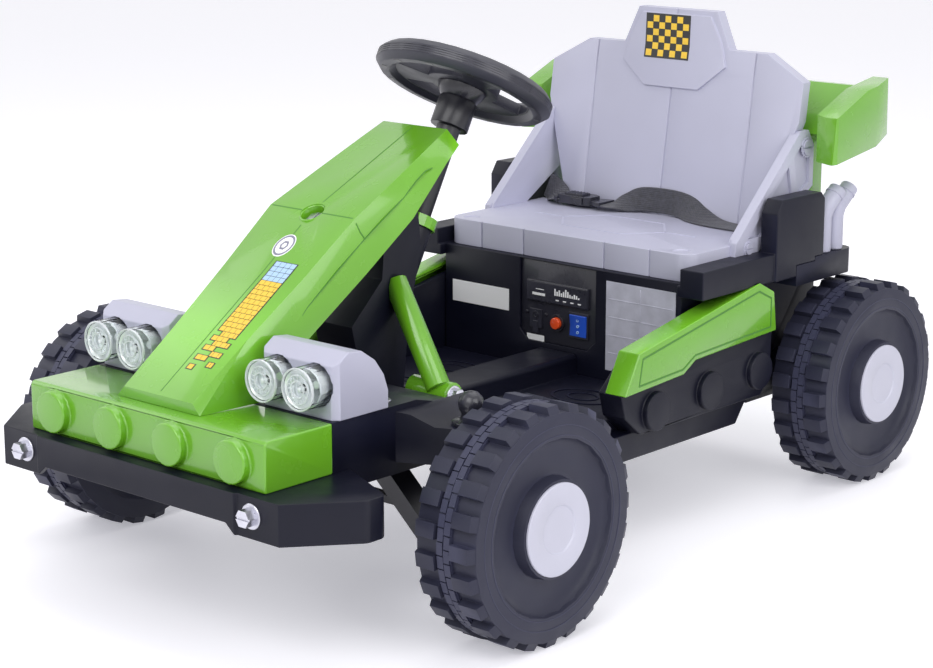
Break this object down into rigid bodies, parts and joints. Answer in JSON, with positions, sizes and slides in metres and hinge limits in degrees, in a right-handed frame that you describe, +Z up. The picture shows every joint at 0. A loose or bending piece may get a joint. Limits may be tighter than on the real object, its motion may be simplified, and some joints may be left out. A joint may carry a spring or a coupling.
{
  "type": "kids electric ride-on car",
  "caption": "Battery ride-on kart for a child with studded brick styling, lugged wheels, a wedge hood, a high seat, steering that turns the front wheels and a rear wing.",
  "frame": {"origin": "centre of the footprint's box on the floor, under the middle of the kart", "axes": "+X to the driver's left, +Y to the rear, +Z up"},
  "size_m": [0.675, 1.0468, 0.5472],
  "materials": {
    "green_plastic": "gloss",
    "grey_plastic": "satin",
    "cap_grey": "satin",
    "black_plastic": "fine grain",
    "wheel_plastic": "fine grain",
    "gloss_black": "gloss",
    "black_steel": "satin",
    "bright_steel": "zinc plated",
    "clear_lens": "clear",
    "reflector": "polished",
    "belt_webbing": "woven",
    "button_red": "gloss",
    "switch_blue": "gloss",
    "battery_case": "matte"
  },
  "bodies": {
    "chassis": {"side_caps": "green_plastic", "nose_brick": "green_plastic", "hood": "green_plastic", "support_legs": "green_plastic", "rear_wing": "green_plastic", "wing_struts": "green_plastic", "column_clip": "green_plastic", "seat_base": "grey_plastic", "seat_back": "grey_plastic", "seat_braces": "grey_plastic", "lamp_housings": "grey_plastic", "exhaust_pipes": "grey_plastic", "bumper": "black_plastic", "front_deck": "black_plastic", "kingpin_arms": "black_plastic", "pylon": "black_plastic", "chassis_tub": "black_plastic", "side_panels": "black_plastic", "seat_box": "black_plastic", "side_rails": "black_plastic", "rear_deck": "black_plastic", "pedal": "black_plastic", "gear_motors": "black_plastic", "kingpin_caps": "gloss_black", "control_panel": "gloss_black", "radio": "gloss_black", "belt_buckle": "gloss_black", "front_axle_beam": "black_steel", "kingpins": "bright_steel", "rear_axle": "bright_steel", "bumper_bolts": "bright_steel", "lamp_lenses": "clear_lens", "lamp_reflectors": "reflector", "lap_belt": "belt_webbing", "start_button": "button_red", "rocker_switch": "switch_blue", "battery": "battery_case"},
    "steering": {"steering_column": "black_steel", "steering_wheel": "gloss_black", "steering_hub": "gloss_black", "column_socket": "gloss_black"},
    "tie_rod_body": {"tie_rod": "black_steel"},
    "left_knuckle": {"knuckle_left": "black_steel"},
    "right_knuckle": {"knuckle_right": "black_steel"},
    "front_left_wheel": {"wheel_front_left": "wheel_plastic", "hub_cap_front_left": "cap_grey"},
    "front_right_wheel": {"wheel_front_right": "wheel_plastic", "hub_cap_front_right": "cap_grey"},
    "rear_left_wheel": {"wheel_rear_left": "wheel_plastic", "hub_cap_rear_left": "cap_grey"},
    "rear_right_wheel": {"wheel_rear_right": "wheel_plastic", "hub_cap_rear_right": "cap_grey"}
  },
  "joints": [
    {"name": "steering_turn", "type": "hinge", "parent": "chassis", "child": "steering", "pos_m": [0, -0.11645, 0.34], "axis": [0, 0.4772, 0.8788], "range_deg": [-45, 45]},
    {"name": "left_kingpin", "type": "hinge", "parent": "chassis", "child": "left_knuckle", "pos_m": [0.225, -0.27438, 0.11977], "axis": [0, 0, 1], "range_deg": [-23, 23]},
    {"name": "right_kingpin", "type": "hinge", "parent": "chassis", "child": "right_knuckle", "pos_m": [-0.225, -0.27438, 0.11977], "axis": [0, 0, 1], "range_deg": [-23, 23]},
    {"name": "tie_rod_slide", "type": "slide", "parent": "chassis", "child": "tie_rod_body", "axis": [1, 0, 0], "range_m": [-0.0184, 0.0184]},
    {"name": "front_left_spin", "type": "hinge", "parent": "left_knuckle", "child": "front_left_wheel", "pos_m": [0.294, -0.27438, 0.11977], "axis": [1, 0, 0], "continuous": true},
    {"name": "front_right_spin", "type": "hinge", "parent": "right_knuckle", "child": "front_right_wheel", "pos_m": [-0.294, -0.27438, 0.11977], "axis": [1, 0, 0], "continuous": true},
    {"name": "rear_left_spin", "type": "hinge", "parent": "chassis", "child": "rear_left_wheel", "pos_m": [0.228, 0.40362, 0.11977], "axis": [1, 0, 0], "continuous": true},
    {"name": "rear_right_spin", "type": "hinge", "parent": "chassis", "child": "rear_right_wheel", "pos_m": [-0.228, 0.40362, 0.11977], "axis": [1, 0, 0], "continuous": true}
  ],
  "couplings": [
    {"joint": "left_kingpin", "follows": "steering_turn", "ratio": 0.5},
    {"joint": "right_kingpin", "follows": "steering_turn", "ratio": 0.5},
    {"joint": "tie_rod_slide", "follows": "steering_turn", "m_per_rad": -0.023138}
  ]
}
